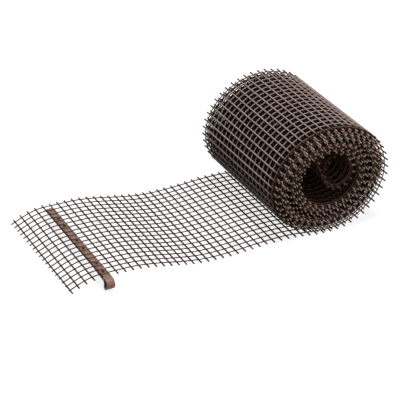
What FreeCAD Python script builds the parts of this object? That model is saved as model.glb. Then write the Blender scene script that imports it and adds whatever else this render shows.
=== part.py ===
import FreeCAD, Part
import math
import os

# A roll of square plastic gutter net lying on its side, its free end drawn out over the floor as a waved
# tail, with one moulded gutter clip fitted under the tail. Sizes are in millimetres. The tail runs along X
# towards the roll, the strip's width runs along Y, and the floor is z = 0.

# The net: cross strands lie along Y in the lower layer, lengthwise strands along X in the upper one
MESH_PITCH = 8.5
LONG_STRAND_COUNT = 19
EDGE_STUB = 5.5
CROSS_STRAND = 1.3
LONG_STRAND = 1.0
WELD_DEPTH = 0.4
END_STUB_FAR = 5.0
END_STUB_NEAR = 1.5

# The roll, wound on nothing: the bore is open from end to end
BORE_RADIUS = 30.0
TURN_COUNT = 13
TURN_PITCH = 2.55
TURN_GROOVE = 1.3

# The tail's wave: heights of the net's underside, and the runs from one height to the next
END_RISE = 3.8
TROUGH_RISE = 0.6
HUMP_RISE = 4.2
END_RUN_CELLS = 4
CREST_RUN_CELLS = 3
FALL_RUN = 101.0
RISE_RUN = 78.0
LAST_RUN = 55.5
SEAT_GAP = 0.1
TAIL_SECTIONS = ("mesh_tail_end", "mesh_tail_crest", "mesh_tail_trough", "mesh_tail_root")

# The clip: a bar that deepens towards a hook, a tab behind the hook's slot, and pegs through the mesh
BAR_WIDTH = 6.8
BAR_THICKNESS = 2.0
BAR_END_INSET = 3.4
HEEL_DEPTH = 6.4
HEEL_RUN = 57.0
HOOK_BORE_RADIUS = 4.0
HOOK_WALL = 1.7
HOOK_WIDTH = 8.6
HOOK_CLEARANCE = 0.4
LIP_WIDTH = 2.6
LIP_DROP = 13.4
SLOT_WIDTH = 1.5
TAB_THICKNESS = 1.8
TAB_DROP = 14.2
PEG_PAIR_COUNT = 3
FIRST_PEG_CELL = 4
CELLS_BETWEEN_PAIRS = 6
CELLS_WITHIN_PAIR = 2
PEG_SIDES = 8
PEG_STEM_RADIUS = 1.1
PEG_BALL_RADIUS = 1.7
PEG_HEIGHT = 4.5

NET_WIDTH = (LONG_STRAND_COUNT - 1) * MESH_PITCH + 2 * EDGE_STUB
LONG_UNDERSIDE = CROSS_STRAND - WELD_DEPTH
CREST_RISE = TAB_DROP - LONG_UNDERSIDE
ROLL_RADIUS = BORE_RADIUS + TURN_COUNT * TURN_PITCH
HOOK_RADIUS = HOOK_BORE_RADIUS + HOOK_WALL
HOOK_FRONT = -(NET_WIDTH / 2 + HOOK_CLEARANCE + HOOK_BORE_RADIUS + HOOK_RADIUS)
TAB_FACE = HOOK_FRONT + HOOK_RADIUS + HOOK_BORE_RADIUS


def lerp(low, high, share):
    return low + (high - low) * share


def ease(low, high, share):
    """Half a cosine wave from one level height to another."""
    return lerp(low, high, (1 - math.cos(math.pi * share)) / 2)


def step_along(x):
    """The x of the next cross strand, one pitch further along the waved tail."""
    rise = underside(x + MESH_PITCH) - underside(x)
    return x + MESH_PITCH * math.cos(math.atan2(rise, MESH_PITCH))


def underside(x):
    """Height of the tail's underside, level over the clip and tangent to the floor under the roll."""
    if x < CREST_START:
        return END_RISE + (CREST_RISE - END_RISE) * math.sin(math.pi / 2 * x / CREST_START)
    if x < CREST_END:
        return CREST_RISE
    if x < TROUGH:
        return ease(CREST_RISE, TROUGH_RISE, (x - CREST_END) / FALL_RUN)
    if x < HUMP:
        return ease(TROUGH_RISE, HUMP_RISE, (x - TROUGH) / RISE_RUN)
    return ease(HUMP_RISE, 0, min(1, (x - HUMP) / LAST_RUN))


# Stations along the tail, measured from the first cross strand
CREST_START = math.sqrt((END_RUN_CELLS * MESH_PITCH) ** 2 - (CREST_RISE - END_RISE) ** 2)
CREST_END = CREST_START + CREST_RUN_CELLS * MESH_PITCH
TROUGH = CREST_END + FALL_RUN
HUMP = TROUGH + RISE_RUN
ROLL_X = HUMP + LAST_RUN
CLIP_X = CREST_START + MESH_PITCH / 2


def roll_underside(x):
    """Height of the roll's round surface above the floor, at its middle's height or below."""
    reach = min(ROLL_RADIUS, abs(ROLL_X - x))
    return ROLL_RADIUS - math.sqrt(ROLL_RADIUS ** 2 - reach ** 2)


def root_x():
    """Where the roll's surface comes down to the middle of the tail's lengthwise strands."""
    clear, buried = HUMP, ROLL_X
    while buried - clear > SEAT_GAP / 10:
        middle = (clear + buried) / 2
        if roll_underside(middle) > underside(middle) + LONG_UNDERSIDE + LONG_STRAND / 2:
            clear = middle
        else:
            buried = middle
    return clear


ROOT_X = root_x()


def cross_strand_places():
    """The x of every cross strand of the tail that lies clear of the roll."""
    places = [CREST_START * cell / END_RUN_CELLS for cell in range(END_RUN_CELLS)]
    x = CREST_START
    while roll_underside(x + CROSS_STRAND / 2) > underside(x) + CROSS_STRAND + SEAT_GAP:
        places.append(x)
        x = step_along(x)
    return places


def long_strand_y(index):
    """Strands are counted from the far edge, at +Y, to the near edge; halves lie between two strands."""
    return (LONG_STRAND_COUNT - 1) * MESH_PITCH / 2 - index * MESH_PITCH


def roll_cylinder(radius):
    base = FreeCAD.Vector(ROLL_X, -NET_WIDTH, ROLL_RADIUS)
    return Part.makeCylinder(radius, 2 * NET_WIDTH, base, FreeCAD.Vector(0, 1, 0))


def cross_strand(x):
    corner = FreeCAD.Vector(x - CROSS_STRAND / 2, -NET_WIDTH / 2, underside(x))
    return Part.makeBox(CROSS_STRAND, NET_WIDTH, CROSS_STRAND, corner)


def long_strand(stations, y):
    """A square strand whose straight runs bend at the stations."""
    low = [FreeCAD.Vector(x, y - LONG_STRAND / 2, underside(x) + LONG_UNDERSIDE) for x in stations]
    high = [point + FreeCAD.Vector(0, 0, LONG_STRAND) for point in low]
    outline = low + high[::-1] + low[:1]
    return Part.Face(Part.makePolygon(outline)).extrude(FreeCAD.Vector(0, LONG_STRAND, 0))


def tail_section(places, start, end):
    """Cross and lengthwise strands between two cuts, fused to one lattice."""
    strands = [cross_strand(x) for x in places]
    for index in range(LONG_STRAND_COUNT):
        if start is None:
            stub = lerp(END_STUB_FAR, END_STUB_NEAR, index / (LONG_STRAND_COUNT - 1))
            stations = [-stub] + places + [end]
        else:
            stations = [start] + places + [end]
        strand = long_strand(stations, long_strand_y(index))
        if end == ROOT_X:
            strand = strand.cut(roll_cylinder(ROLL_RADIUS + SEAT_GAP))
        strands.append(strand)
    return strands[0].multiFuse(strands[1:])


def tail_sections():
    """The first section ends over the clip, and the others share the rest of the tail."""
    places = cross_strand_places()
    over_clip = END_RUN_CELLS + 1
    share = math.ceil((len(places) - over_clip) / (len(TAIL_SECTIONS) - 1))
    sections = {}
    start = None
    first = 0
    last = over_clip
    for name in TAIL_SECTIONS:
        group = places[first:last]
        following = places[last:last + 1]
        end = (group[-1] + following[0]) / 2 if following else ROOT_X
        sections[name] = tail_section(group, start, end)
        start = end
        first = last
        last += share
    return sections


def mesh_roll():
    """The wound strip: ridges and grooves on both ends show its turns."""
    near_end = []
    for turn in range(TURN_COUNT):
        inner = BORE_RADIUS + turn * TURN_PITCH
        near_end.append((inner, TURN_GROOVE - NET_WIDTH / 2))
        near_end.append((inner + TURN_PITCH / 2, -NET_WIDTH / 2))
    near_end.append((ROLL_RADIUS, TURN_GROOVE - NET_WIDTH / 2))
    far_end = [(radius, -y) for radius, y in near_end]
    outline = near_end + far_end[::-1] + near_end[:1]
    points = [FreeCAD.Vector(ROLL_X + radius, y, ROLL_RADIUS) for radius, y in outline]
    axis_point = FreeCAD.Vector(ROLL_X, 0, ROLL_RADIUS)
    return Part.Face(Part.makePolygon(points)).revolve(axis_point, FreeCAD.Vector(0, 1, 0), 360)


def clip_slab(edges, width):
    """A side outline of the clip, drawn in the plane across the net, made as thick as the width given."""
    face = Part.Face(Part.Wire(edges))
    slab = face.extrude(FreeCAD.Vector(width, 0, 0))
    slab.translate(FreeCAD.Vector(CLIP_X - width / 2, 0, 0))
    return slab


def side(y, drop):
    """A point of the clip's side outline, by its place along the bar and its depth below the bar's top."""
    return FreeCAD.Vector(0, y, TAB_DROP - drop)


def line(first, second):
    return Part.LineSegment(first, second).toShape()


def arc(first, middle, last):
    return Part.Arc(first, middle, last).toShape()


def clip_bar():
    """The bar, deeper towards the hook, with the tab that hangs behind the hook's slot."""
    far_end = long_strand_y(0) - BAR_END_INSET
    tab_back = TAB_FACE + TAB_THICKNESS
    tab_tip = TAB_DROP - TAB_THICKNESS / 2
    top_front = side(TAB_FACE, 0)
    top_back = side(far_end, 0)
    low_back = side(far_end, BAR_THICKNESS)
    heel_end = side(tab_back + HEEL_RUN, BAR_THICKNESS)
    heel = side(tab_back, HEEL_DEPTH)
    tip_back = side(tab_back, tab_tip)
    tip = side(TAB_FACE + TAB_THICKNESS / 2, TAB_DROP)
    tip_front = side(TAB_FACE, tab_tip)
    edges = [
        line(top_front, top_back),
        line(top_back, low_back),
        line(low_back, heel_end),
        line(heel_end, heel),
        line(heel, tip_back),
        arc(tip_back, tip, tip_front),
        line(tip_front, top_front),
    ]
    return clip_slab(edges, BAR_WIDTH)


def clip_hook():
    """The hook: the bar's top curls forward, down and back to a lip that leaves a slot in front of the tab."""
    middle = HOOK_FRONT + HOOK_RADIUS
    lip_back = TAB_FACE - SLOT_WIDTH
    lip_front = lip_back - LIP_WIDTH
    lip_tip = LIP_DROP - LIP_WIDTH / 2
    lip_top = HOOK_RADIUS + math.sqrt(HOOK_BORE_RADIUS ** 2 - (lip_back - middle) ** 2)
    curl_foot = HOOK_RADIUS + math.sqrt(HOOK_RADIUS ** 2 - (lip_front - middle) ** 2)
    edges = [
        line(side(TAB_FACE, 0), side(middle, 0)),
        arc(side(middle, 0), side(HOOK_FRONT, HOOK_RADIUS), side(lip_front, curl_foot)),
        line(side(lip_front, curl_foot), side(lip_front, lip_tip)),
        arc(side(lip_front, lip_tip), side(lip_front + LIP_WIDTH / 2, LIP_DROP), side(lip_back, lip_tip)),
        line(side(lip_back, lip_tip), side(lip_back, lip_top)),
        arc(side(lip_back, lip_top), side(middle - HOOK_BORE_RADIUS, HOOK_RADIUS), side(TAB_FACE, HOOK_RADIUS)),
        line(side(TAB_FACE, HOOK_RADIUS), side(TAB_FACE, 0)),
    ]
    return clip_slab(edges, HOOK_WIDTH)


def peg_ring(middle, height, radius):
    """A level outline with few sides around a peg's stem or ball."""
    points = []
    for corner in range(PEG_SIDES + 1):
        angle = 2 * math.pi * (corner + 0.5) / PEG_SIDES
        points.append(middle + FreeCAD.Vector(radius * math.cos(angle), radius * math.sin(angle), height))
    return Part.makePolygon(points)


def clip_peg(cell):
    """A stem with a ball on top, in the middle of a mesh cell; cells are counted from the far edge."""
    foot = FreeCAD.Vector(CLIP_X, long_strand_y(cell - 0.5), TAB_DROP)
    ball_height = PEG_HEIGHT - PEG_BALL_RADIUS
    neck = math.asin(PEG_STEM_RADIUS / PEG_BALL_RADIUS) - math.pi / 2
    rings = [peg_ring(foot, -BAR_THICKNESS / 2, PEG_STEM_RADIUS)]
    for slope in (neck, neck / 3, -neck / 3, -neck):
        height = ball_height + PEG_BALL_RADIUS * math.sin(slope)
        rings.append(peg_ring(foot, height, PEG_BALL_RADIUS * math.cos(slope)))
    return Part.makeLoft(rings, True, True)


def gutter_clip():
    """The bar, its hook and its pegs, which stand in pairs along the bar."""
    pegs = []
    for pair in range(PEG_PAIR_COUNT):
        cell = FIRST_PEG_CELL + pair * CELLS_BETWEEN_PAIRS
        pegs += [clip_peg(cell), clip_peg(cell + CELLS_WITHIN_PAIR)]
    return clip_bar().multiFuse([clip_hook()] + pegs).removeSplitter()


def main():
    """Write every piece, with the origin on the floor under the middle of the whole object."""
    os.makedirs("parts", exist_ok=True)
    pieces = {"mesh_roll": mesh_roll(), **tail_sections(), "gutter_clip": gutter_clip()}
    middle_x = (ROLL_X + ROLL_RADIUS - END_STUB_FAR) / 2
    middle_y = (HOOK_FRONT + NET_WIDTH / 2) / 2
    for name, shape in pieces.items():
        shape.translate(FreeCAD.Vector(-middle_x, -middle_y, 0))
        shape.exportStep(f"parts/{name}.step")


main()
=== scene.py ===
"""A roll of square plastic gutter net on its side, its free end drawn out over the floor, and a clip.

The net is one strip that follows a single path: a waved tail, then turn after turn of a sagging roll,
then a loose inner end in the bore. Lengthwise strands run along that path, and cross strands over it.
"""

import math

import bmesh
import bpy
import numpy as np
from bpy.props import (
    FloatProperty,
    FloatVectorProperty,
    IntProperty,
    PointerProperty,
    StringProperty,
)
from mathutils import Euler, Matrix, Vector, noise


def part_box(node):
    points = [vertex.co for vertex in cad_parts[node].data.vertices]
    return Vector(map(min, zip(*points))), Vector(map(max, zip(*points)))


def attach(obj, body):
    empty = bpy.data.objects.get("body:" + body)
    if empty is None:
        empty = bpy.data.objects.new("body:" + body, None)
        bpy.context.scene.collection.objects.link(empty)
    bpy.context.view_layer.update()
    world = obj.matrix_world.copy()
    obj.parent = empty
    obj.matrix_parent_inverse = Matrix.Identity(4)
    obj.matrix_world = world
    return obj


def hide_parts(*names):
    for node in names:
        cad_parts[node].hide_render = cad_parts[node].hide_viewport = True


bl_info = {
    "name": "Gutter Guard Roll",
    "version": (1, 0, 0),
    "blender": (4, 5, 0),
    "location": "View3D > Sidebar > Gutter Guard",
    "description": "Builds a roll of gutter net with its drawn-out tail, its clip and a studio stage",
    "category": "Object",
}

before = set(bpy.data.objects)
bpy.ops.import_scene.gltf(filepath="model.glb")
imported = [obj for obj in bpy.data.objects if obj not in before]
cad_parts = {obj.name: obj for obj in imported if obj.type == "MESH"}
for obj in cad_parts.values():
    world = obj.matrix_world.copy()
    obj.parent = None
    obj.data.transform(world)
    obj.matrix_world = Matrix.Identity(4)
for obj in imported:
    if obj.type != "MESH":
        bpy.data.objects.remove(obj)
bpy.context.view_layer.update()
ROLL_LOW, ROLL_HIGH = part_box("mesh_roll")
TAIL_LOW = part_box("mesh_tail_end")[0]
CLIP_LOW, CLIP_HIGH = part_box("gutter_clip")
ROLL_X = (ROLL_LOW.x + ROLL_HIGH.x) / 2
ROLL_Y = (ROLL_LOW.y + ROLL_HIGH.y) / 2
CLIP_X = (CLIP_LOW.x + CLIP_HIGH.x) / 2
BODY = "root"
TAIL_NODES = ("mesh_tail_end", "mesh_tail_crest", "mesh_tail_trough", "mesh_tail_root")
IMAGE_SIDE = 400
MM = 0.001
WHITE = (1.0, 1.0, 1.0, 1.0)

# the way that the cross strands and the roll's axis lie
ACROSS = (0.0, 1.0, 0.0)

# points that the path is first drawn with
TAIL_SAMPLES = 3000
ROLL_SAMPLES = 30000

# strays of the turns: how often in a turn, and where in the noise they are read
STRAYS_PER_TURN = 5.3
STRAY_PLACE = (0.7, 2.9)
DRIFTS_PER_TURN = 0.9
DRIFT_PLACE = (8.1, 4.4)

# where the outermost turn stands off most, and where the dent under it starts, in turns from the floor
STANDOFF_TURN = 0.2
DENT_START_TURN = 0.6

# the power that narrows the dent
DENT_SHARPNESS = 3

# where the roll has slumped most, measured downwards from the side away from the tail
SLUMP_BEARING = math.radians(145)

# sides of a strand and rings of a knuckle where they lie open to view, and inside the roll
OPEN_SIDES, INNER_SIDES = 8, 6
OPEN_RINGS, INNER_RINGS = 5, 3

# steps of the clip's arcs, sides and rings of its pegs
CURL_STEPS, LIP_STEPS, TAB_STEPS = 28, 10, 8
STEM_SIDES, STEM_RINGS = 20, 4
BALL_SIDES, BALL_RINGS = 24, 14

# edges turn sharp past these angles, in degrees
STRAND_SHARP, CLIP_SHARP, PEG_SHARP = 70, 35, 60

# patterns of the plastics in millimetres, and their roughness from low to high
NET_RUB_PATCH = 9.0
NET_DIE_LINE = 0.4
NET_DIE_DEPTH = 0.06
NET_ROUGHNESS = (0.34, 0.52)
CLIP_FLOW_MARK = 5.0
CLIP_SPARK_GRAIN = 0.25
CLIP_SPARK_DEPTH = 0.05
CLIP_ROUGHNESS = (0.40, 0.55)

# stops on the strands' scale of painted light: full painted sheen on a strand open to view, and the paler
# painted highlight of a cut end
FULL_SHEEN = 1.0
CUT_END_HIGHLIGHT = 1.5

# the painted shade of the bore ends here, in half heights of the bore
BORE_SHADE_EDGE = 0.85

# the bar rubs the strands in full up to the first and not past the second, in bar widths from its middle
BAR_RUB = (0.45, 0.65)

# places of the lamps and sides of their squares, in metres
LAMPS = {
    "key": ((0.1, -0.15, 1.45), 0.5),
    "fill": ((0.2, -1.4, 0.5), 0.8),
    "back": ((0.1, 1.4, 0.6), 0.8),
}


def length(name, description, millimetres):
    """A length that a user would change, given in millimetres and kept in metres."""
    return FloatProperty(
        name=name, description=description, default=millimetres * MM, unit="LENGTH", precision=5
    )


def number(name, description, default):
    return FloatProperty(name=name, description=description, default=default, precision=4)


def count(name, description, default):
    return IntProperty(name=name, description=description, default=default, min=1)


def angle(name, description, degrees):
    return FloatProperty(
        name=name, description=description, default=math.radians(degrees), subtype="ANGLE", unit="ROTATION"
    )


def hex_colour(name, description, default):
    return StringProperty(name=name, description=description + ", as an sRGB hex value", default=default)


class NetSizes(bpy.types.PropertyGroup):
    """The strip of net, measured flat."""

    pitch: length("Mesh pitch", "From one strand to the next, both ways", 8.5)
    strand_count: count("Lengthwise strands", "Strands that run along the strip", 19)
    width: length("Strip width", "Length of a cross strand", (ROLL_HIGH.y - ROLL_LOW.y) / MM)
    cross_strand: length("Cross strand", "Diameter of the cross strands, outside in the roll", 1.7)
    long_strand: length("Lengthwise strand", "Diameter of the lengthwise strands", 1.25)
    weld_depth: length("Weld depth", "How far the two layers sink into each other where they cross", 0.7)
    knuckle: length("Knuckle", "Radius of the swelling where two strands cross", 0.95)
    end_stub_far: length("Far end stub", "Length past the last cross strand, at the far edge", 5.0)
    end_stub_near: length("Near end stub", "Length past the last cross strand, at the near edge", 1.5)
    wobble: length("Wobble", "How far a strand strays from its line", 0.35)
    wobble_spacing: length("Wobble spacing", "Length over which a strand strays", 22.0)
    cut_spread: length("Cut spread", "How unevenly the ends of the cross strands are cut", 0.5)
    seed: count("Seed", "Fixes the uneven cuts", 11)


class TailSizes(bpy.types.PropertyGroup):
    """The waved tail: heights of the net's underside, and the runs between them."""

    end_rise: length("End rise", "Height of the free end", 3.8)
    crest_rise: length("Crest rise", "Height over the clip", 13.3)
    trough_rise: length("Trough rise", "Height of the lowest part", 0.6)
    hump_rise: length("Hump rise", "Height of the swell in front of the roll", 4.2)
    end_cells: count("End cells", "Mesh cells from the free end to the crest", 4)
    crest_cells: count("Crest cells", "Mesh cells of the level crest", 3)
    fall_run: length("Fall run", "From the crest to the trough", 101.0)
    rise_run: length("Rise run", "From the trough to the swell", 78.0)
    last_run: length("Last run", "From the swell to the floor under the roll", 55.5)


class RollSizes(bpy.types.PropertyGroup):
    """The roll, which sags under its own weight to an oval."""

    wall_turns: number("Wall turns", "Turns on each other, up to where the inner end comes loose", 14.5)
    half_width: length("Half width", "Half the roll's width", 69.5)
    half_height: length("Half height", "Half the roll's height", 61.0)
    bore_half_width: length("Bore half width", "Half the bore's width", 32.5)
    bore_half_height: length("Bore half height", "Half the bore's height", 29.0)
    bore_lift: length("Bore lift", "How far the bore's middle lies above the roll's", 2.3)
    bulge: length("Bulge", "How far the roll has slumped over the tail, low on that side", 3.5)
    standoff: length("Standoff", "How far the outermost turn stands off where it rises from the floor", 2.4)
    standoff_turns: number("Standoff turns", "Turns over which the dent under it dies away", 12.0)
    slack: number("Slack", "How unevenly the turns are drawn up, as a part of a turn", 0.1)
    slack_turns: number("Slack turns", "Turns from one slack place to the next", 3.7)
    radial_wander: length("Radial wander", "How far the turns stray in and out", 0.4)
    axial_wander: length("Axial wander", "How far the turns stray along the roll", 2.2)
    curl_turns: number("Curl turns", "Turns of the loose inner end", 1.9)
    curl_release: number("Curl release", "Part of a turn over which the inner end leaves the wall", 0.28)
    curl_half_width: length("Curl half width", "Half the loose inner end's width", 20.9)
    curl_half_height: length("Curl half height", "Half the loose inner end's height", 22.4)
    curl_shift: length("Curl shift", "How far the loose inner end lies off the bore's middle in X", 9.5)
    curl_lift: length("Curl lift", "How far the loose inner end lies off the bore's middle in Z", 6.5)


class ClipSizes(bpy.types.PropertyGroup):
    """The moulded clip under the tail."""

    bar_width: length("Bar width", "Width of the bar", 6.8)
    bar_thickness: length("Bar thickness", "Thickness of the bar away from the hook", 2.0)
    heel_depth: length("Heel depth", "Depth of the bar at the hook", 6.4)
    heel_run: length("Heel run", "Length over which the bar deepens", 57.0)
    hook_bore: length("Hook bore", "Inner radius of the hook", 4.0)
    hook_wall: length("Hook wall", "Thickness of the hook", 1.7)
    lip_width: length("Lip width", "Thickness of the lip at the hook's end", 2.6)
    lip_drop: length("Lip drop", "From the bar's top to the lip's end", 13.4)
    slot_width: length("Slot width", "Gap between lip and tab", 1.5)
    tab_thickness: length("Tab thickness", "Thickness of the tab", 1.8)
    tab_drop: length("Tab drop", "From the bar's top to the tab's end", 14.2)
    hook_sink: length("Hook sink", "How far the hook's root reaches into the bar", 0.25)
    edge_round: length("Edge round", "Radius of the moulded edges", 0.32)
    peg_pairs: count("Peg pairs", "Pairs of pegs along the bar", 3)
    first_peg_cell: count("First peg cell", "Mesh cell of the first peg, from the far edge", 4)
    cells_between_pairs: count("Cells between pairs", "Mesh cells from pair to pair", 6)
    cells_within_pair: count("Cells within a pair", "Mesh cells from peg to peg", 2)
    peg_stem: length("Peg stem", "Radius of a peg's stem", 1.1)
    peg_ball: length("Peg ball", "Radius of a peg's ball", 1.7)
    peg_height: length("Peg height", "From the bar's top to the ball's top", 4.4)


class Finishes(bpy.types.PropertyGroup):
    """Colours of the plastics, and where the strands are painted as shaded, lit or worn."""

    # painted shade: strands under other turns get this near-black colour in place of the shade they lie in
    net_painted_shade: hex_colour("Net, covered", "Colour of the strands that lie under other turns", "#0f0806")
    net_fresh: hex_colour("Net, fresh", "Colour of the strands that were covered until now", "#2e1605")
    # painted sheen: strands open to view are painted these paler colours in place of their satin sheen,
    # mottled at random between the two as rubbed patches
    net_handled_sheen: hex_colour("Net, handled", "Colour of the strands that hands and light reach", "#64554f")
    net_rubbed_sheen: hex_colour("Net, rubbed", "Colour of the strands where they are rubbed", "#8b7b74")
    # painted highlight: cut ends are painted this paler colour in place of the light they catch
    net_cut_highlight: hex_colour("Net, cut", "Colour of the strands' cut ends", "#8f796c")
    # places on the strands' scale of painted light and wear: 0 is painted shade, the tail sits at its own
    # colour, 1 is full painted sheen and past it a cut end's painted highlight
    tail_light_and_wear: number("Tail bareness", "How far the tail has gone from the covered colour", 0.2)
    # painted shade: the outermost turn is painted dark towards its tips
    tip_light_and_wear: number("Tip bareness", "The same for the cut tips of the outermost turn", 0.05)
    # painted highlight on the strands' cut ends at both ends of the roll
    end_light_and_wear: number("End bareness", "The same for the strands' ends on the roll's ends", CUT_END_HIGHLIGHT)
    # the innermost turns, with the loose inner end, get no painted shade and a little painted sheen
    bore_light_and_wear: number("Bore bareness", "The same for the innermost turns", 0.28)
    # painted shade of the bore: the loose inner end's cut ends get this in place of the cut ends' painted
    # highlight
    curl_light_and_wear: number("Curl bareness", "The same for the strands' ends of the loose inner end", 0.4)
    bar_light_and_wear: number("Bar bareness", "The same for the strands that the clip's bar rubs", 0.6)
    # runs of the cut ends' painted highlight and of the outermost turn's painted shade towards its tips
    end_run: number("End run", "Mesh pitches over which the ends on the roll's two ends lie bare", 0.65)
    tip_run: number("Tip run", "Mesh pitches over which the outermost turn darkens to its tips", 1.6)
    clip_body: hex_colour("Clip", "Colour of the clip", "#5e4234")
    clip_flow: hex_colour("Clip, flow", "Colour of the paler flow marks in the clip", "#715244")


class StageSettings(bpy.types.PropertyGroup):
    """Camera, floor and lamps."""

    azimuth: angle("Azimuth", "Camera's angle round the object", -26.192)
    elevation: angle("Elevation", "Camera's angle above the floor", 28.77)
    place: FloatVectorProperty(
        name="Place",
        description="Where the camera stands",
        default=(-0.6938, -1.4150, 0.8945),
        subtype="XYZ",
    )
    focal_pixels: number("Focal length", "Camera's focal length in pixels of the picture", 1699.7)
    floor_side: length("Floor side", "Side of the floor", 12000.0)
    floor_paper: hex_colour("Floor paper", "Colour that the floor throws back on the object", "#b4b3b2")
    floor_glow: number("Floor glow", "Share of the floor's white that no shadow takes away", 0.86)
    floor_grey: number("Floor grey", "Grey of the floor as the camera sees it lit, on top of the glow", 0.2)
    key_power: number("Key power", "Power of the large lamp overhead, in watts", 33.0)
    fill_power: number("Fill power", "Power of the lamp in front, in watts", 8.5)
    back_power: number("Back power", "Power of the lamp behind, in watts", 4.5)
    sky_strength: number("Sky strength", "Strength of the even light from all round", 0.14)


class GutterGuardSettings(bpy.types.PropertyGroup):
    """All settings of the gutter guard."""

    net: PointerProperty(type=NetSizes)
    tail: PointerProperty(type=TailSizes)
    roll: PointerProperty(type=RollSizes)
    clip: PointerProperty(type=ClipSizes)
    finishes: PointerProperty(type=Finishes)
    stage: PointerProperty(type=StageSettings)


# Small helpers


def lerp(low, high, share):
    return low + (high - low) * share


def smoothstep(share):
    held = np.clip(share, 0.0, 1.0)
    return held * held * (3 - 2 * held)


def ease(low, high, share):
    """Half a cosine wave from one level height to another."""
    return lerp(low, high, (1 - math.cos(math.pi * share)) / 2)


def linear_colour(hex_value):
    """An sRGB hex value as linear red, green, blue and full alpha."""
    parts = [int(hex_value[place:place + 2], 16) / 255 for place in (1, 3, 5)]
    return tuple(p / 12.92 if p <= 0.04045 else ((p + 0.055) / 1.055) ** 2.4 for p in parts) + (1.0,)


def per_metre(millimetres):
    """Scale of a pattern whose features are this large."""
    return 1 / (millimetres * MM)


def add_node(tree, kind, inputs=(), **settings):
    """A node with its settings, its sockets set or linked."""
    made = tree.nodes.new(kind)
    for name, value in settings.items():
        setattr(made, name, value)
    for key, value in dict(inputs).items():
        if isinstance(value, bpy.types.NodeSocket):
            tree.links.new(value, made.inputs[key])
        else:
            made.inputs[key].default_value = value
    return made


def new_piece(name, mesh):
    """An object at the origin, with its place in its mesh."""
    piece = bpy.data.objects.new(name, mesh)
    bpy.context.scene.collection.objects.link(piece)
    return piece


def settle(piece):
    """Turns what the modifiers give into the piece's own plain mesh."""
    evaluated = piece.evaluated_get(bpy.context.evaluated_depsgraph_get())
    mesh = bpy.data.meshes.new_from_object(evaluated)
    piece.modifiers.clear()
    piece.data = mesh


def shade(piece, sharp_degrees):
    piece.data.shade_smooth()
    piece.data.set_sharp_from_angle(angle=math.radians(sharp_degrees))


def grow(piece, tree, values):
    """Runs a node tree on a piece, with the named inputs set by their identifiers."""
    modifier = piece.modifiers.new(tree.name, "NODES")
    modifier.node_group = tree
    sockets = [item for item in tree.interface.items_tree if item.in_out == "INPUT"]
    identifiers = {socket.name: socket.identifier for socket in sockets}
    for name, value in values.items():
        modifier[identifiers[name]] = value
    settle(piece)


def seat(piece, slot, *nodes):
    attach(piece, BODY)
    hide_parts(*nodes)


# Materials


def new_material(name):
    """A material with nodes, and its tree."""
    material = bpy.data.materials.new(name)
    material.use_nodes = True
    return material, material.node_tree


def feed_plastic(tree, colour, roughness, relief, ior, glint):
    """Gives a plastic's shader its patterns and its even numbers."""
    shader = tree.nodes["Principled BSDF"]
    tree.links.new(colour, shader.inputs["Base Color"])
    tree.links.new(roughness, shader.inputs["Roughness"])
    tree.links.new(relief, shader.inputs["Normal"])
    shader.inputs["IOR"].default_value = ior
    shader.inputs["Specular IOR Level"].default_value = glint


def strand_light_and_wear(tree, settings, place):
    """Where each strand stands between painted shade and painted sheen: 0 painted shade under other turns, 1
    painted sheen where it lies open to view, more for a cut end's painted highlight; the clip's bar adds
    wear.
    """
    finishes, roll = settings.finishes, settings.roll
    told = {
        name: add_node(tree, "ShaderNodeAttribute", attribute_name=name).outputs["Fac"]
        for name in ("light_and_wear_level", "end_light_and_wear_level", "end_run")
    }
    parts = add_node(tree, "ShaderNodeSeparateXYZ", {0: place}).outputs

    # painted shade of the bore: the loose inner end's cut ends are painted darker inside it
    bore_middle = (ROLL_X, 0.0, roll.half_height + roll.bore_lift)
    off_bore = add_node(tree, "ShaderNodeVectorMath", {0: place, 1: bore_middle}, operation="SUBTRACT")
    flat = add_node(
        tree, "ShaderNodeVectorMath", {0: off_bore.outputs[0], 1: (1.0, 0.0, 1.0)}, operation="MULTIPLY"
    )
    reach = add_node(tree, "ShaderNodeVectorMath", {0: flat.outputs[0]}, operation="LENGTH")
    end_light_and_wear_level = add_node(
        tree,
        "ShaderNodeMapRange",
        {
            "Value": reach.outputs["Value"],
            "From Min": BORE_SHADE_EDGE * roll.bore_half_height,
            "From Max": roll.bore_half_height,
            "To Min": finishes.curl_light_and_wear,
            "To Max": told["end_light_and_wear_level"],
        },
    )

    # the strands' ends at both ends of the roll, on its inner turns too, take the painted light of the ends:
    # a paler painted highlight on the cut ends, and painted shade on the outermost turn's tips
    half_width = settings.net.width / 2
    off_middle = add_node(tree, "ShaderNodeMath", {0: parts["Y"], 1: ROLL_Y}, operation="SUBTRACT")
    aside = add_node(tree, "ShaderNodeMath", {0: off_middle.outputs[0]}, operation="ABSOLUTE")
    inset = add_node(tree, "ShaderNodeMath", {0: half_width, 1: told["end_run"]}, operation="SUBTRACT")
    to_ends = add_node(
        tree,
        "ShaderNodeMapRange",
        {
            "Value": aside.outputs[0],
            "From Min": inset.outputs[0],
            "From Max": half_width,
            "To Min": told["light_and_wear_level"],
            "To Max": end_light_and_wear_level.outputs["Result"],
        },
    )

    # the clip rubs the strands that lie on its bar
    off_bar = add_node(tree, "ShaderNodeMath", {0: parts["X"], 1: CLIP_X}, operation="SUBTRACT")
    from_bar = add_node(tree, "ShaderNodeMath", {0: off_bar.outputs[0]}, operation="ABSOLUTE")
    on_bar = add_node(
        tree,
        "ShaderNodeMapRange",
        {
            "Value": from_bar.outputs[0],
            "From Min": BAR_RUB[0] * settings.clip.bar_width,
            "From Max": BAR_RUB[1] * settings.clip.bar_width,
            "To Min": finishes.bar_light_and_wear,
            "To Max": 0.0,
        },
    )
    light_and_wear_level = add_node(
        tree,
        "ShaderNodeMath",
        {0: to_ends.outputs["Result"], 1: on_bar.outputs["Result"]},
        operation="MAXIMUM",
    )
    return light_and_wear_level.outputs[0]


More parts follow.
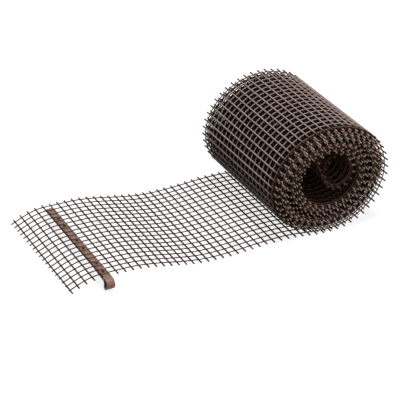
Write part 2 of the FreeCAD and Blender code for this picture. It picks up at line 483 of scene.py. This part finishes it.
def extruded_polyethylene(settings):
    """Dark brown net plastic.

    Polyethylene pressed through a die: smooth, with hardly a glint, so its sheen is painted into the colour.
    Strands open to view are painted paler as sheen, with random rubbed patches, and cut ends paler still as
    a painted highlight. Those under other turns are painted deep brown as shade.
    """
    finishes = settings.finishes
    material, tree = new_material("extruded polyethylene")
    place = add_node(tree, "ShaderNodeTexCoord").outputs["Object"]
    rubbed = add_node(
        tree,
        "ShaderNodeTexNoise",
        {"Vector": place, "Scale": per_metre(NET_RUB_PATCH), "Detail": 4.0, "Roughness": 0.6},
    ).outputs["Fac"]
    # painted sheen, mottled at random between a handled and a rubbed tone
    sheen_and_wear = add_node(
        tree,
        "ShaderNodeMix",
        {0: rubbed, 6: linear_colour(finishes.net_handled_sheen), 7: linear_colour(finishes.net_rubbed_sheen)},
        data_type="RGBA",
    )

    # from the painted shade of covered strands to the tail's own colour, on to the painted sheen with its
    # rubbed patches, and to a cut end's painted highlight
    light_and_wear_level = strand_light_and_wear(tree, settings, place)
    colour = linear_colour(finishes.net_painted_shade)
    for start, end, next_colour in (
        (0.0, finishes.tail_light_and_wear, linear_colour(finishes.net_fresh)),
        (finishes.tail_light_and_wear, FULL_SHEEN, sheen_and_wear.outputs[2]),
        (FULL_SHEEN, CUT_END_HIGHLIGHT, linear_colour(finishes.net_cut_highlight)),
    ):
        share = add_node(tree, "ShaderNodeMapRange", {"Value": light_and_wear_level, "From Min": start, "From Max": end})
        colour = add_node(
            tree,
            "ShaderNodeMix",
            {0: share.outputs["Result"], 6: colour, 7: next_colour},
            data_type="RGBA",
        ).outputs[2]

    low, high = NET_ROUGHNESS
    dulled = add_node(tree, "ShaderNodeMapRange", {"Value": rubbed, "To Min": low, "To Max": high})
    # die lines, as coarse as a close view can show
    lines = add_node(
        tree, "ShaderNodeTexNoise", {"Vector": place, "Scale": per_metre(NET_DIE_LINE), "Detail": 2.0}
    )
    relief = add_node(
        tree,
        "ShaderNodeBump",
        {"Height": lines.outputs["Fac"], "Strength": 0.35, "Distance": NET_DIE_DEPTH * MM},
    )
    feed_plastic(
        tree, colour, dulled.outputs["Result"], relief.outputs["Normal"], ior=1.51, glint=0.05
    )
    return material


def moulded_polypropylene(settings):
    """Brown clip plastic.

    Polypropylene moulded in a spark-eroded tool: a fine even grain that scatters the light, with faint
    paler flow marks along the bar.
    """
    finishes = settings.finishes
    material, tree = new_material("moulded polypropylene")
    place = add_node(tree, "ShaderNodeTexCoord").outputs["Object"]
    # the marks are drawn out along the bar to four times their width
    along = add_node(tree, "ShaderNodeMapping", {"Vector": place, "Scale": (1.0, 0.25, 1.0)})
    flow = add_node(
        tree,
        "ShaderNodeTexNoise",
        {
            "Vector": along.outputs["Vector"],
            "Scale": per_metre(CLIP_FLOW_MARK),
            "Detail": 3.0,
            "Roughness": 0.55,
        },
    ).outputs["Fac"]
    colour = add_node(
        tree,
        "ShaderNodeMix",
        {0: flow, 6: linear_colour(finishes.clip_body), 7: linear_colour(finishes.clip_flow)},
        data_type="RGBA",
    )
    low, high = CLIP_ROUGHNESS
    dulled = add_node(tree, "ShaderNodeMapRange", {"Value": flow, "To Min": low, "To Max": high})
    grain = add_node(
        tree, "ShaderNodeTexNoise", {"Vector": place, "Scale": per_metre(CLIP_SPARK_GRAIN), "Detail": 2.0}
    )
    relief = add_node(
        tree,
        "ShaderNodeBump",
        {"Height": grain.outputs["Fac"], "Strength": 0.4, "Distance": CLIP_SPARK_DEPTH * MM},
    )
    feed_plastic(
        tree, colour.outputs[2], dulled.outputs["Result"], relief.outputs["Normal"], ior=1.49, glint=0.3
    )
    return material


def showing_rays(tree):
    """1 for the rays that show the background: the camera's, and those off or through other things."""
    rays = add_node(tree, "ShaderNodeLightPath").outputs
    shown = rays["Is Camera Ray"]
    for kind in ("Is Glossy Ray", "Is Transmission Ray"):
        shown = add_node(tree, "ShaderNodeMath", {0: shown, 1: rays[kind]}, operation="MAXIMUM").outputs[0]
    return shown


def white_floor(stage):
    """A white paper sweep: the camera sees it as white, with the object's shadow faint on it."""
    material, tree = new_material("matt white paper")
    tree.nodes.clear()
    grey = (stage.floor_grey, stage.floor_grey, stage.floor_grey, 1.0)
    paper = add_node(tree, "ShaderNodeBsdfDiffuse", {"Color": linear_colour(stage.floor_paper)})
    lit = add_node(tree, "ShaderNodeBsdfDiffuse", {"Color": grey})
    glow = add_node(tree, "ShaderNodeEmission", {"Color": WHITE, "Strength": stage.floor_glow})
    bright = add_node(tree, "ShaderNodeAddShader", {0: lit.outputs[0], 1: glow.outputs[0]})
    shown = add_node(
        tree, "ShaderNodeMixShader", {0: showing_rays(tree), 1: paper.outputs[0], 2: bright.outputs[0]}
    )
    add_node(tree, "ShaderNodeOutputMaterial", {"Surface": shown.outputs[0]})
    return material


# The net's path


def crest_start_x(tail, pitch):
    """Run from the first cross strand to the crest, which the end's cells climb as a straight line."""
    return math.sqrt((tail.end_cells * pitch) ** 2 - (tail.crest_rise - tail.end_rise) ** 2)


def underside(tail, pitch, x):
    """Height of the tail's underside at a distance from its first cross strand."""
    crest_start = crest_start_x(tail, pitch)
    crest_end = crest_start + tail.crest_cells * pitch
    trough = crest_end + tail.fall_run
    hump = trough + tail.rise_run
    if x < crest_start:
        return lerp(tail.end_rise, tail.crest_rise, math.sin(math.pi / 2 * x / crest_start))
    if x < crest_end:
        return tail.crest_rise
    if x < trough:
        return ease(tail.crest_rise, tail.trough_rise, (x - crest_end) / tail.fall_run)
    if x < hump:
        return ease(tail.trough_rise, tail.hump_rise, (x - trough) / tail.rise_run)
    return ease(tail.hump_rise, 0, min(1, (x - hump) / tail.last_run))


def tail_line(settings):
    """Dense points of the tail's underside, from the tip of its longest strand to under the roll."""
    net, tail = settings.net, settings.tail
    first_x = TAIL_LOW.x + net.end_stub_far
    places = np.linspace(-net.end_stub_far, ROLL_X - first_x, TAIL_SAMPLES)
    heights = [underside(tail, net.pitch, x) for x in places]
    return np.column_stack([places + first_x, np.zeros(len(places)), heights])


def roll_line(settings):
    """Dense points of the wound strip's outer side, from the floor to the loose inner end."""
    net, roll = settings.net, settings.roll
    thickness = net.cross_strand + net.long_strand - net.weld_depth
    turns = np.linspace(0, roll.wall_turns + roll.curl_turns, ROLL_SAMPLES)
    held = np.clip(turns, 0, 1)
    drawn = turns + roll.slack * held * np.sin(2 * math.pi * (turns - 1) / roll.slack_turns)
    share = np.clip(drawn / roll.wall_turns, 0, 1)
    loose = np.clip(turns - roll.wall_turns, 0, None)
    free = smoothstep(loose / roll.curl_release)
    strays = np.array([noise.noise(Vector((turn * STRAYS_PER_TURN, *STRAY_PLACE))) for turn in turns])
    drifts = np.array([noise.noise(Vector((turn * DRIFTS_PER_TURN, *DRIFT_PLACE))) for turn in turns])
    # the turns under the outermost one are dented where it stands off
    facing = np.clip(np.cos(2 * math.pi * (turns - STANDOFF_TURN)), 0, 1) ** DENT_SHARPNESS
    depth = np.clip(1 - (turns - 1) / roll.standoff_turns, 0, 1)
    dent = np.where(turns > DENT_START_TURN, depth, 0) * facing
    stray = strays * roll.radial_wander * held - dent * roll.standoff
    wide = lerp(roll.half_width, roll.bore_half_width + thickness, share) + stray
    high = lerp(roll.half_height, roll.bore_half_height + thickness, share) + stray
    wide = lerp(wide, roll.curl_half_width - loose * thickness, free)
    high = lerp(high, roll.curl_half_height - loose * thickness, free)
    bearing = 2 * math.pi * turns - math.pi / 2
    over_tail = np.clip(np.cos(bearing + SLUMP_BEARING), 0, 1) ** 2
    slump = roll.bulge * over_tail * held * (1 - share)
    x = ROLL_X + roll.curl_shift * free + wide * np.cos(bearing) - slump
    z = roll.half_height + roll.bore_lift * share + roll.curl_lift * free + high * np.sin(bearing)
    return np.column_stack([x, drifts * roll.axial_wander * held, z])


def strip_path(settings):
    """Points of the strip at half-pitch steps, the free end's tip first, and the roll's first one's rank."""
    net = settings.net
    tail = tail_line(settings)
    line = np.vstack([tail, roll_line(settings)[1:]])
    line[:, 1] += ROLL_Y
    steps = np.linalg.norm(np.diff(line, axis=0), axis=1)
    travelled = np.concatenate([[0.0], np.cumsum(steps)])
    half_pitches = np.arange(net.end_stub_far, travelled[-1], net.pitch / 2)
    stops = np.concatenate([[0.0], half_pitches])
    points = np.column_stack([np.interp(stops, travelled, line[:, axis]) for axis in range(3)])
    whole_pitches = int((travelled[len(tail) - 1] - net.end_stub_far) / net.pitch)
    return points, 1 + 2 * whole_pitches


# The net's node tree


NET_NUMBERS = (
    "Pitch",
    "Half Span",
    "Width",
    "Cross Strand",
    "Cross Layer",
    "Long Strand",
    "Long Layer",
    "Knuckle",
    "Knuckle Layer",
    "End Slant",
    "Wobble",
    "Wobble Scale",
    "Cut Spread",
    "Light And Wear",
    "End Light And Wear",
    "End Run",
)
NET_COUNTS = ("Strand Count", "Strand Sides", "Cross Segments", "Knuckle Rings", "Seed")


def net_tree(material):
    """Lengthwise strands along a path, cross strands at its marked points, knuckles where they cross."""
    tree = bpy.data.node_groups.new("gutter net", "GeometryNodeTree")
    face = tree.interface
    face.new_socket("Path", in_out="INPUT", socket_type="NodeSocketGeometry")
    for name in NET_NUMBERS:
        face.new_socket(name, in_out="INPUT", socket_type="NodeSocketFloat")
    for name in NET_COUNTS:
        face.new_socket(name, in_out="INPUT", socket_type="NodeSocketInt")
    face.new_socket("Net", in_out="OUTPUT", socket_type="NodeSocketGeometry")
    given = tree.nodes.new("NodeGroupInput").outputs

    path = add_node(tree, "GeometryNodeMeshToCurve", {"Mesh": given["Path"]}).outputs["Curve"]
    marked = add_node(
        tree, "GeometryNodeInputNamedAttribute", {"Name": "crossing"}, data_type="BOOLEAN"
    ).outputs["Attribute"]
    place = add_node(tree, "GeometryNodeInputPosition").outputs[0]
    ripple = add_node(
        tree, "ShaderNodeTexNoise", {"Vector": place, "Scale": given["Wobble Scale"], "Detail": 1.0}
    )
    centred = add_node(tree, "ShaderNodeMath", {0: ripple.outputs["Fac"], 1: 0.5}, operation="SUBTRACT")
    stray = add_node(
        tree, "ShaderNodeMath", {0: centred.outputs[0], 1: given["Wobble"]}, operation="MULTIPLY"
    )

    # lengthwise strands, laid side by side from the far edge
    heading = add_node(tree, "GeometryNodeInputTangent").outputs[0]
    inward = add_node(tree, "ShaderNodeVectorMath", {0: heading, 1: ACROSS}, operation="CROSS_PRODUCT")
    copies = add_node(
        tree,
        "GeometryNodeDuplicateElements",
        {"Geometry": path, "Amount": given["Strand Count"]},
        domain="SPLINE",
    )
    rank = copies.outputs["Duplicate Index"]
    from_edge = add_node(tree, "ShaderNodeMath", {0: rank, 1: given["Pitch"]}, operation="MULTIPLY")
    across = add_node(
        tree, "ShaderNodeMath", {0: given["Half Span"], 1: from_edge.outputs[0]}, operation="SUBTRACT"
    )
    sideways = add_node(tree, "ShaderNodeCombineXYZ", {"Y": across.outputs[0]})
    lifted = add_node(
        tree,
        "ShaderNodeVectorMath",
        {0: inward.outputs[0], "Scale": given["Long Layer"]},
        operation="SCALE",
    )
    shift = add_node(
        tree, "ShaderNodeVectorMath", {0: lifted.outputs[0], 1: sideways.outputs[0]}, operation="ADD"
    )
    laid = add_node(
        tree,
        "GeometryNodeSetPosition",
        {"Geometry": copies.outputs["Geometry"], "Offset": shift.outputs[0]},
    )
    waver = add_node(tree, "ShaderNodeCombineXYZ", {"Y": stray.outputs[0]})
    wavy = add_node(
        tree, "GeometryNodeSetPosition", {"Geometry": laid.outputs[0], "Offset": waver.outputs[0]}
    ).outputs[0]
    cut = add_node(tree, "ShaderNodeMath", {0: rank, 1: given["End Slant"]}, operation="MULTIPLY")
    whole = add_node(tree, "GeometryNodeSplineLength").outputs["Length"]
    trimmed = add_node(
        tree, "GeometryNodeTrimCurve", {"Curve": wavy, 4: cut.outputs[0], 5: whole}, mode="LENGTH"
    )
    long_radius = add_node(tree, "ShaderNodeMath", {0: given["Long Strand"], 1: 0.5}, operation="MULTIPLY")
    ring = add_node(
        tree,
        "GeometryNodeCurvePrimitiveCircle",
        {"Resolution": given["Strand Sides"], "Radius": long_radius.outputs[0]},
    )
    tubes = add_node(
        tree,
        "GeometryNodeCurveToMesh",
        {"Curve": trimmed.outputs[0], "Profile Curve": ring.outputs[0], "Fill Caps": True},
    )

    # cross strands, one straight bar at each marked point of the path
    stations = add_node(tree, "GeometryNodeCurveToPoints", {"Curve": path}, mode="EVALUATED")
    ahead = stations.outputs["Tangent"]
    upward = add_node(tree, "ShaderNodeVectorMath", {0: ahead, 1: ACROSS}, operation="CROSS_PRODUCT")
    raised = add_node(
        tree,
        "ShaderNodeVectorMath",
        {0: upward.outputs[0], "Scale": given["Cross Layer"]},
        operation="SCALE",
    )
    least = add_node(tree, "ShaderNodeMath", {0: given["Cut Spread"], 1: -1.0}, operation="MULTIPLY")
    slip = add_node(
        tree,
        "FunctionNodeRandomValue",
        {2: least.outputs[0], 3: given["Cut Spread"], "Seed": given["Seed"]},
        data_type="FLOAT",
    )
    slipped = add_node(tree, "ShaderNodeCombineXYZ", {"Y": slip.outputs[1]})
    moved = add_node(
        tree, "ShaderNodeVectorMath", {0: raised.outputs[0], 1: slipped.outputs[0]}, operation="ADD"
    )
    seats = add_node(
        tree,
        "GeometryNodeSetPosition",
        {"Geometry": stations.outputs["Points"], "Offset": moved.outputs[0]},
    )
    cross_radius = add_node(
        tree, "ShaderNodeMath", {0: given["Cross Strand"], 1: 0.5}, operation="MULTIPLY"
    )
    rod = add_node(
        tree,
        "GeometryNodeMeshCylinder",
        {
            "Vertices": given["Strand Sides"],
            "Side Segments": given["Cross Segments"],
            "Radius": cross_radius.outputs[0],
            "Depth": given["Width"],
        },
    )
    across_strip = add_node(
        tree,
        "GeometryNodeTransform",
        {"Geometry": rod.outputs["Mesh"], "Rotation": Euler((math.pi / 2, 0, 0))},
    )
    bars = add_node(
        tree,
        "GeometryNodeInstanceOnPoints",
        {"Points": seats.outputs[0], "Selection": marked, "Instance": across_strip.outputs[0]},
    )
    real_bars = add_node(tree, "GeometryNodeRealizeInstances", {"Geometry": bars.outputs[0]})
    bend = add_node(tree, "ShaderNodeVectorMath", {0: ahead, "Scale": stray.outputs[0]}, operation="SCALE")
    bent_bars = add_node(
        tree, "GeometryNodeSetPosition", {"Geometry": real_bars.outputs[0], "Offset": bend.outputs[0]}
    )

    # knuckles, where the strands are fused
    crossings = add_node(tree, "GeometryNodeCurveToPoints", {"Curve": wavy}, mode="EVALUATED")
    inside = add_node(
        tree,
        "ShaderNodeVectorMath",
        {0: crossings.outputs["Tangent"], 1: ACROSS},
        operation="CROSS_PRODUCT",
    )
    sunk = add_node(
        tree,
        "ShaderNodeVectorMath",
        {0: inside.outputs[0], "Scale": given["Knuckle Layer"]},
        operation="SCALE",
    )
    welds = add_node(
        tree,
        "GeometryNodeSetPosition",
        {"Geometry": crossings.outputs["Points"], "Offset": sunk.outputs[0]},
    )
    bead = add_node(
        tree,
        "GeometryNodeMeshUVSphere",
        {"Radius": given["Knuckle"], "Segments": given["Strand Sides"], "Rings": given["Knuckle Rings"]},
    )
    beads = add_node(
        tree,
        "GeometryNodeInstanceOnPoints",
        {"Points": welds.outputs[0], "Selection": marked, "Instance": bead.outputs["Mesh"]},
    )

    joined = add_node(tree, "GeometryNodeJoinGeometry")
    for part in (tubes, bent_bars, beads):
        tree.links.new(part.outputs[0], joined.inputs[0])
    real = add_node(tree, "GeometryNodeRealizeInstances", {"Geometry": joined.outputs[0]})

    # what the plastic reads for the strands' painted shade, sheen and highlight and their wear, along the
    # strip and at its edges
    told = real
    for name, socket in (("light_and_wear_level", "Light And Wear"), ("end_light_and_wear_level", "End Light And Wear"), ("end_run", "End Run")):
        told = add_node(
            tree,
            "GeometryNodeStoreNamedAttribute",
            {"Geometry": told.outputs[0], "Name": name, "Value": given[socket]},
            data_type="FLOAT",
            domain="POINT",
        )
    dyed = add_node(tree, "GeometryNodeSetMaterial", {"Geometry": told.outputs[0], "Material": material})
    add_node(tree, "NodeGroupOutput", {"Net": dyed.outputs[0]})
    return tree


def path_mesh(name, points, owned):
    """A line of points, each marked where a cross strand lies over it."""
    mesh = bpy.data.meshes.new(name)
    links = [(index, index + 1) for index in range(len(points) - 1)]
    mesh.from_pydata([tuple(point) for point in points], links, [])
    marks = mesh.attributes.new("crossing", "BOOLEAN", "POINT")
    marks.data.foreach_set("value", owned)
    return mesh


def net_piece(settings, tree, name, points, owned, fine, light_and_wear, slant=0.0):
    """One stretch of the strip, finely made where it lies open to view.

    Its place between painted shade and painted sheen, with its wear, is given along the strip, at the
    strands' ends, and as the run between the two.
    """
    net = settings.net
    along, at_ends, run = light_and_wear
    long_layer = net.cross_strand - net.weld_depth + net.long_strand / 2
    knuckle_layer = net.cross_strand - net.weld_depth / 2
    piece = new_piece(name, path_mesh(name, points, owned))
    grow(
        piece,
        tree,
        {
            "Pitch": net.pitch,
            "Half Span": (net.strand_count - 1) * net.pitch / 2,
            "Width": net.width,
            "Cross Strand": net.cross_strand,
            "Cross Layer": net.cross_strand / 2,
            "Long Strand": net.long_strand,
            "Long Layer": long_layer,
            "Knuckle": net.knuckle,
            "Knuckle Layer": knuckle_layer - long_layer,
            "End Slant": slant,
            "Wobble": net.wobble,
            "Wobble Scale": 1 / net.wobble_spacing,
            "Cut Spread": net.cut_spread,
            "Light And Wear": along,
            "End Light And Wear": at_ends,
            "End Run": run,
            "Strand Count": net.strand_count,
            "Strand Sides": OPEN_SIDES if fine else INNER_SIDES,
            "Cross Segments": 2 * net.strand_count if fine else 1,
            "Knuckle Rings": OPEN_RINGS if fine else INNER_RINGS,
            "Seed": net.seed,
        },
    )
    shade(piece, STRAND_SHARP)
    return piece


# The clip


def arc_points(middle, radius, start, end, steps):
    """Points of an arc in the clip's side outline, as (along the bar, height)."""
    angles = [math.radians(lerp(start, end, step / steps)) for step in range(steps + 1)]
    return [(middle[0] + radius * math.cos(a), middle[1] + radius * math.sin(a)) for a in angles]


def slab(name, outline, width):
    """A side outline of the clip made as thick as the width given."""
    shape = bmesh.new()
    corners = [shape.verts.new((CLIP_X - width / 2, y, z)) for y, z in outline]
    side = shape.faces.new(corners)
    grown = bmesh.ops.extrude_face_region(shape, geom=[side])
    moved = [part for part in grown["geom"] if isinstance(part, bmesh.types.BMVert)]
    bmesh.ops.translate(shape, verts=moved, vec=(width, 0, 0))
    bmesh.ops.recalc_face_normals(shape, faces=shape.faces)
    mesh = bpy.data.meshes.new(name)
    shape.to_mesh(mesh)
    shape.free()
    return new_piece(name, mesh)


def tab_face_y(clip):
    """Where the tab's face lies, at the back of the hook's bore."""
    return CLIP_LOW.y + 2 * clip.hook_bore + clip.hook_wall


def bar_outline(clip):
    """The bar, deeper towards the hook, with the tab that hangs behind the hook's slot."""
    top = clip.tab_drop
    face = tab_face_y(clip)
    back = face + clip.tab_thickness
    tip = (face + clip.tab_thickness / 2, clip.tab_thickness / 2)
    return [
        (face, top),
        (CLIP_HIGH.y, top),
        (CLIP_HIGH.y, top - clip.bar_thickness),
        (back + clip.heel_run, top - clip.bar_thickness),
        (back, top - clip.heel_depth),
    ] + arc_points(tip, clip.tab_thickness / 2, 0, -180, TAB_STEPS)


def hook_outline(clip):
    """The hook: a curl from the bar's top, forward, down and back to a lip in front of the tab."""
    top = clip.tab_drop
    outer = clip.hook_bore + clip.hook_wall
    middle = (CLIP_LOW.y + outer, top - outer)
    root = tab_face_y(clip) + clip.hook_sink
    lip_back = tab_face_y(clip) - clip.slot_width
    lip_front = lip_back - clip.lip_width
    lip_middle = (lip_back - clip.lip_width / 2, top - clip.lip_drop + clip.lip_width / 2)
    outer_end = 360 - math.degrees(math.acos((lip_front - middle[0]) / outer))
    inner_end = 360 - math.degrees(math.acos((lip_back - middle[0]) / clip.hook_bore))
    curl = arc_points(middle, outer, 90, outer_end, CURL_STEPS)
    lip = arc_points(lip_middle, clip.lip_width / 2, 180, 360, LIP_STEPS)
    bore = arc_points(middle, clip.hook_bore, inner_end, 0, CURL_STEPS)
    return [(root, top)] + curl + lip + bore + [(root, middle[1])]


def peg_tree(material):
    """A peg on each point: a flared stem with a ball on it."""
    tree = bpy.data.node_groups.new("clip pegs", "GeometryNodeTree")
    tree.interface.new_socket("Places", in_out="INPUT", socket_type="NodeSocketGeometry")
    for name in ("Stem", "Flare", "Ball", "Stem Height", "Ball Height"):
        tree.interface.new_socket(name, in_out="INPUT", socket_type="NodeSocketFloat")
    tree.interface.new_socket("Pegs", in_out="OUTPUT", socket_type="NodeSocketGeometry")
    given = tree.nodes.new("NodeGroupInput").outputs
    stem = add_node(
        tree,
        "GeometryNodeMeshCone",
        {
            "Vertices": STEM_SIDES,
            "Side Segments": STEM_RINGS,
            "Radius Top": given["Stem"],
            "Radius Bottom": given["Flare"],
            "Depth": given["Stem Height"],
        },
    )
    ball = add_node(
        tree,
        "GeometryNodeMeshUVSphere",
        {"Segments": BALL_SIDES, "Rings": BALL_RINGS, "Radius": given["Ball"]},
    )
    up = add_node(tree, "ShaderNodeCombineXYZ", {"Z": given["Ball Height"]})
    top = add_node(
        tree, "GeometryNodeTransform", {"Geometry": ball.outputs["Mesh"], "Translation": up.outputs[0]}
    )
    peg = add_node(tree, "GeometryNodeJoinGeometry")
    tree.links.new(stem.outputs["Mesh"], peg.inputs[0])
    tree.links.new(top.outputs[0], peg.inputs[0])
    points = add_node(tree, "GeometryNodeMeshToPoints", {"Mesh": given["Places"]})
    pegs = add_node(
        tree, "GeometryNodeInstanceOnPoints", {"Points": points.outputs[0], "Instance": peg.outputs[0]}
    )
    real = add_node(tree, "GeometryNodeRealizeInstances", {"Geometry": pegs.outputs[0]})
    dyed = add_node(tree, "GeometryNodeSetMaterial", {"Geometry": real.outputs[0], "Material": material})
    add_node(tree, "NodeGroupOutput", {"Pegs": dyed.outputs[0]})
    return tree


def peg_places(settings):
    """The foot of each peg, in the middle of a mesh cell; cells are counted from the far edge."""
    net, clip = settings.net, settings.clip
    far_strand = ROLL_Y + (net.strand_count - 1) * net.pitch / 2
    places = []
    for pair in range(clip.peg_pairs):
        for peg in range(2):
            cell = clip.first_peg_cell + pair * clip.cells_between_pairs + peg * clip.cells_within_pair
            y = far_strand - (cell - 0.5) * net.pitch
            places.append((CLIP_X, y, clip.tab_drop))
    return places


def material_of(settings, name):
    """One of the object's plastics, made when it is first asked for."""
    makers = {
        "extruded polyethylene": extruded_polyethylene,
        "moulded polypropylene": moulded_polypropylene,
    }
    return bpy.data.materials.get(name) or makers[name](settings)


class GUTTER_OT_net_tail(bpy.types.Operator):
    """Build the drawn-out tail of the net"""

    bl_idname = "gutter.net_tail"
    bl_label = "Net Tail"

    def execute(self, context):
        settings = context.scene.gutter_guard
        net = settings.net
        points, roll_start = strip_path(settings)
        stretch = points[:roll_start + 1]
        owned = [index % 2 == 1 for index in range(len(stretch))]
        slant = (net.end_stub_far - net.end_stub_near) / (net.strand_count - 1)
        tree = net_tree(material_of(settings, "extruded polyethylene"))
        light_and_wear_level = settings.finishes.tail_light_and_wear
        light_and_wear = (light_and_wear_level, light_and_wear_level, net.pitch)
        piece = net_piece(settings, tree, "net_tail", stretch, owned, True, light_and_wear, slant)
        seat(piece, "net_plastic", *TAIL_NODES)
        return {"FINISHED"}


class GUTTER_OT_net_roll(bpy.types.Operator):
    """Build the wound part of the net, the outermost turn first, and its loose inner end"""

    bl_idname = "gutter.net_roll"
    bl_label = "Net Roll"

    def execute(self, context):
        settings = context.scene.gutter_guard
        points, roll_start = strip_path(settings)
        tree = net_tree(material_of(settings, "extruded polyethylene"))
        cells = (len(points) - 1 - roll_start) // 2
        outer_cells = round(2 * math.pi * settings.roll.half_width / settings.net.pitch)
        inner_cells = (cells - outer_cells) // 3
        cuts = [0, outer_cells, outer_cells + inner_cells, outer_cells + 2 * inner_cells, cells]
        names = ("net_outer_turn", "net_turns_outer", "net_turns_middle", "net_turns_inner")
        finishes, pitch = settings.finishes, settings.net.pitch
        # painted light of each stretch: the roll's ends get the cut ends' painted highlight; the outermost
        # turn gets full painted sheen and painted shade towards its tips, the turns under it painted shade,
        # the innermost a little painted sheen
        ends = (finishes.end_light_and_wear, finishes.end_run * pitch)
        light_and_wear = (
            (FULL_SHEEN, finishes.tip_light_and_wear, finishes.tip_run * pitch),
            (0.0, *ends),
            (0.0, *ends),
            (finishes.bore_light_and_wear, *ends),
        )
        for name, first, last, light_and_wear_level in zip(names, cuts, cuts[1:], light_and_wear):
            stretch = points[roll_start + 2 * first:roll_start + 2 * last + 1]
            owned = [index > 0 and index % 2 == 0 for index in range(len(stretch))]
            piece = net_piece(settings, tree, name, stretch, owned, name == names[0], light_and_wear_level)
            seat(piece, "net_plastic", "mesh_roll")
        return {"FINISHED"}


class GUTTER_OT_clip(bpy.types.Operator):
    """Build the moulded clip: its bar and tab, its hook, and its pegs"""

    bl_idname = "gutter.clip"
    bl_label = "Gutter Clip"

    def execute(self, context):
        settings = context.scene.gutter_guard
        clip = settings.clip
        plastic = material_of(settings, "moulded polypropylene")
        body = slab("clip_body", bar_outline(clip), clip.bar_width)
        hook = slab("clip_hook_stock", hook_outline(clip), CLIP_HIGH.x - CLIP_LOW.x)
        union = body.modifiers.new("hook", "BOOLEAN")
        union.operation = "UNION"
        union.solver = "EXACT"
        union.object = hook
        rounding = body.modifiers.new("moulded edges", "BEVEL")
        rounding.width = clip.edge_round
        rounding.segments = 3
        rounding.limit_method = "ANGLE"
        rounding.angle_limit = math.radians(CLIP_SHARP)
        settle(body)
        bpy.data.objects.remove(hook)
        body.data.materials.clear()
        body.data.materials.append(plastic)
        shade(body, CLIP_SHARP)
        seat(body, "clip_plastic", "gutter_clip")

        feet = bpy.data.meshes.new("clip_pegs")
        feet.from_pydata(peg_places(settings), [], [])
        pegs = new_piece("clip_pegs", feet)
        ball_height = clip.peg_height - clip.peg_ball
        grow(
            pegs,
            peg_tree(plastic),
            {
                "Stem": clip.peg_stem,
                "Flare": clip.peg_stem + clip.edge_round,
                "Ball": clip.peg_ball,
                "Stem Height": ball_height,
                "Ball Height": ball_height,
            },
        )
        shade(pegs, PEG_SHARP)
        seat(pegs, "clip_plastic", "gutter_clip")
        return {"FINISHED"}


class GUTTER_OT_stage(bpy.types.Operator):
    """Set up the floor, the lamps, the even light and the camera"""

    bl_idname = "gutter.stage"
    bl_label = "Studio Stage"

    def execute(self, context):
        stage = context.scene.gutter_guard.stage
        self.floor(stage)
        self.sky(context.scene, stage)
        self.lamp("key", stage.key_power)
        self.lamp("fill", stage.fill_power)
        self.lamp("back", stage.back_power)
        self.camera(context.scene, stage)
        context.scene.view_settings.view_transform = "Standard"
        return {"FINISHED"}

    def floor(self, stage):
        half = stage.floor_side / 2
        mesh = bpy.data.meshes.new("floor")
        corners = [(-half, -half, 0), (half, -half, 0), (half, half, 0), (-half, half, 0)]
        mesh.from_pydata(corners, [], [(0, 1, 2, 3)])
        mesh.materials.append(white_floor(stage))
        new_piece("floor", mesh)

    def sky(self, scene, stage):
        world = bpy.data.worlds.new("even light")
        world.use_nodes = True
        tree = world.node_tree
        tree.nodes.clear()
        even = add_node(tree, "ShaderNodeBackground", {"Color": WHITE, "Strength": stage.sky_strength})
        seen = add_node(tree, "ShaderNodeBackground", {"Color": WHITE, "Strength": 1.0})
        shown = add_node(
            tree, "ShaderNodeMixShader", {0: showing_rays(tree), 1: even.outputs[0], 2: seen.outputs[0]}
        )
        add_node(tree, "ShaderNodeOutputWorld", {"Surface": shown.outputs[0]})
        scene.world = world

    def lamp(self, name, power):
        """A square lamp at its place, turned to the middle of the floor."""
        place, side = LAMPS[name]
        light = bpy.data.lights.new(name, "AREA")
        light.energy = power
        light.size = side
        lamp = bpy.data.objects.new(name, light)
        lamp.location = place
        lamp.rotation_euler = (-Vector(place)).to_track_quat("-Z", "Y").to_euler()
        bpy.context.scene.collection.objects.link(lamp)

    def camera(self, scene, stage):
        lens = bpy.data.cameras.new("camera")
        lens.lens = stage.focal_pixels / IMAGE_SIDE * lens.sensor_width
        eye = bpy.data.objects.new("camera", lens)
        eye.location = stage.place
        eye.rotation_euler = (math.pi / 2 - stage.elevation, 0, stage.azimuth)
        scene.collection.objects.link(eye)
        scene.camera = eye


class GUTTER_PT_panel(bpy.types.Panel):
    """Lists the steps that build the gutter guard"""

    bl_label = "Gutter Guard"
    bl_idname = "GUTTER_PT_panel"
    bl_space_type = "VIEW_3D"
    bl_region_type = "UI"
    bl_category = "Gutter Guard"

    def draw(self, context):
        for step in OPERATORS:
            self.layout.operator(step.bl_idname)


GROUPS = (NetSizes, TailSizes, RollSizes, ClipSizes, Finishes, StageSettings, GutterGuardSettings)
OPERATORS = (GUTTER_OT_net_tail, GUTTER_OT_net_roll, GUTTER_OT_clip, GUTTER_OT_stage)
CLASSES = GROUPS + OPERATORS + (GUTTER_PT_panel,)


def register():
    for item in CLASSES:
        bpy.utils.register_class(item)
    bpy.types.Scene.gutter_guard = PointerProperty(type=GutterGuardSettings)


def unregister():
    del bpy.types.Scene.gutter_guard
    for item in reversed(CLASSES):
        bpy.utils.unregister_class(item)


def main():
    register()
    bpy.ops.gutter.net_tail()
    bpy.ops.gutter.net_roll()
    bpy.ops.gutter.clip()
    bpy.ops.gutter.stage()


if __name__ == "__main__":
    main()
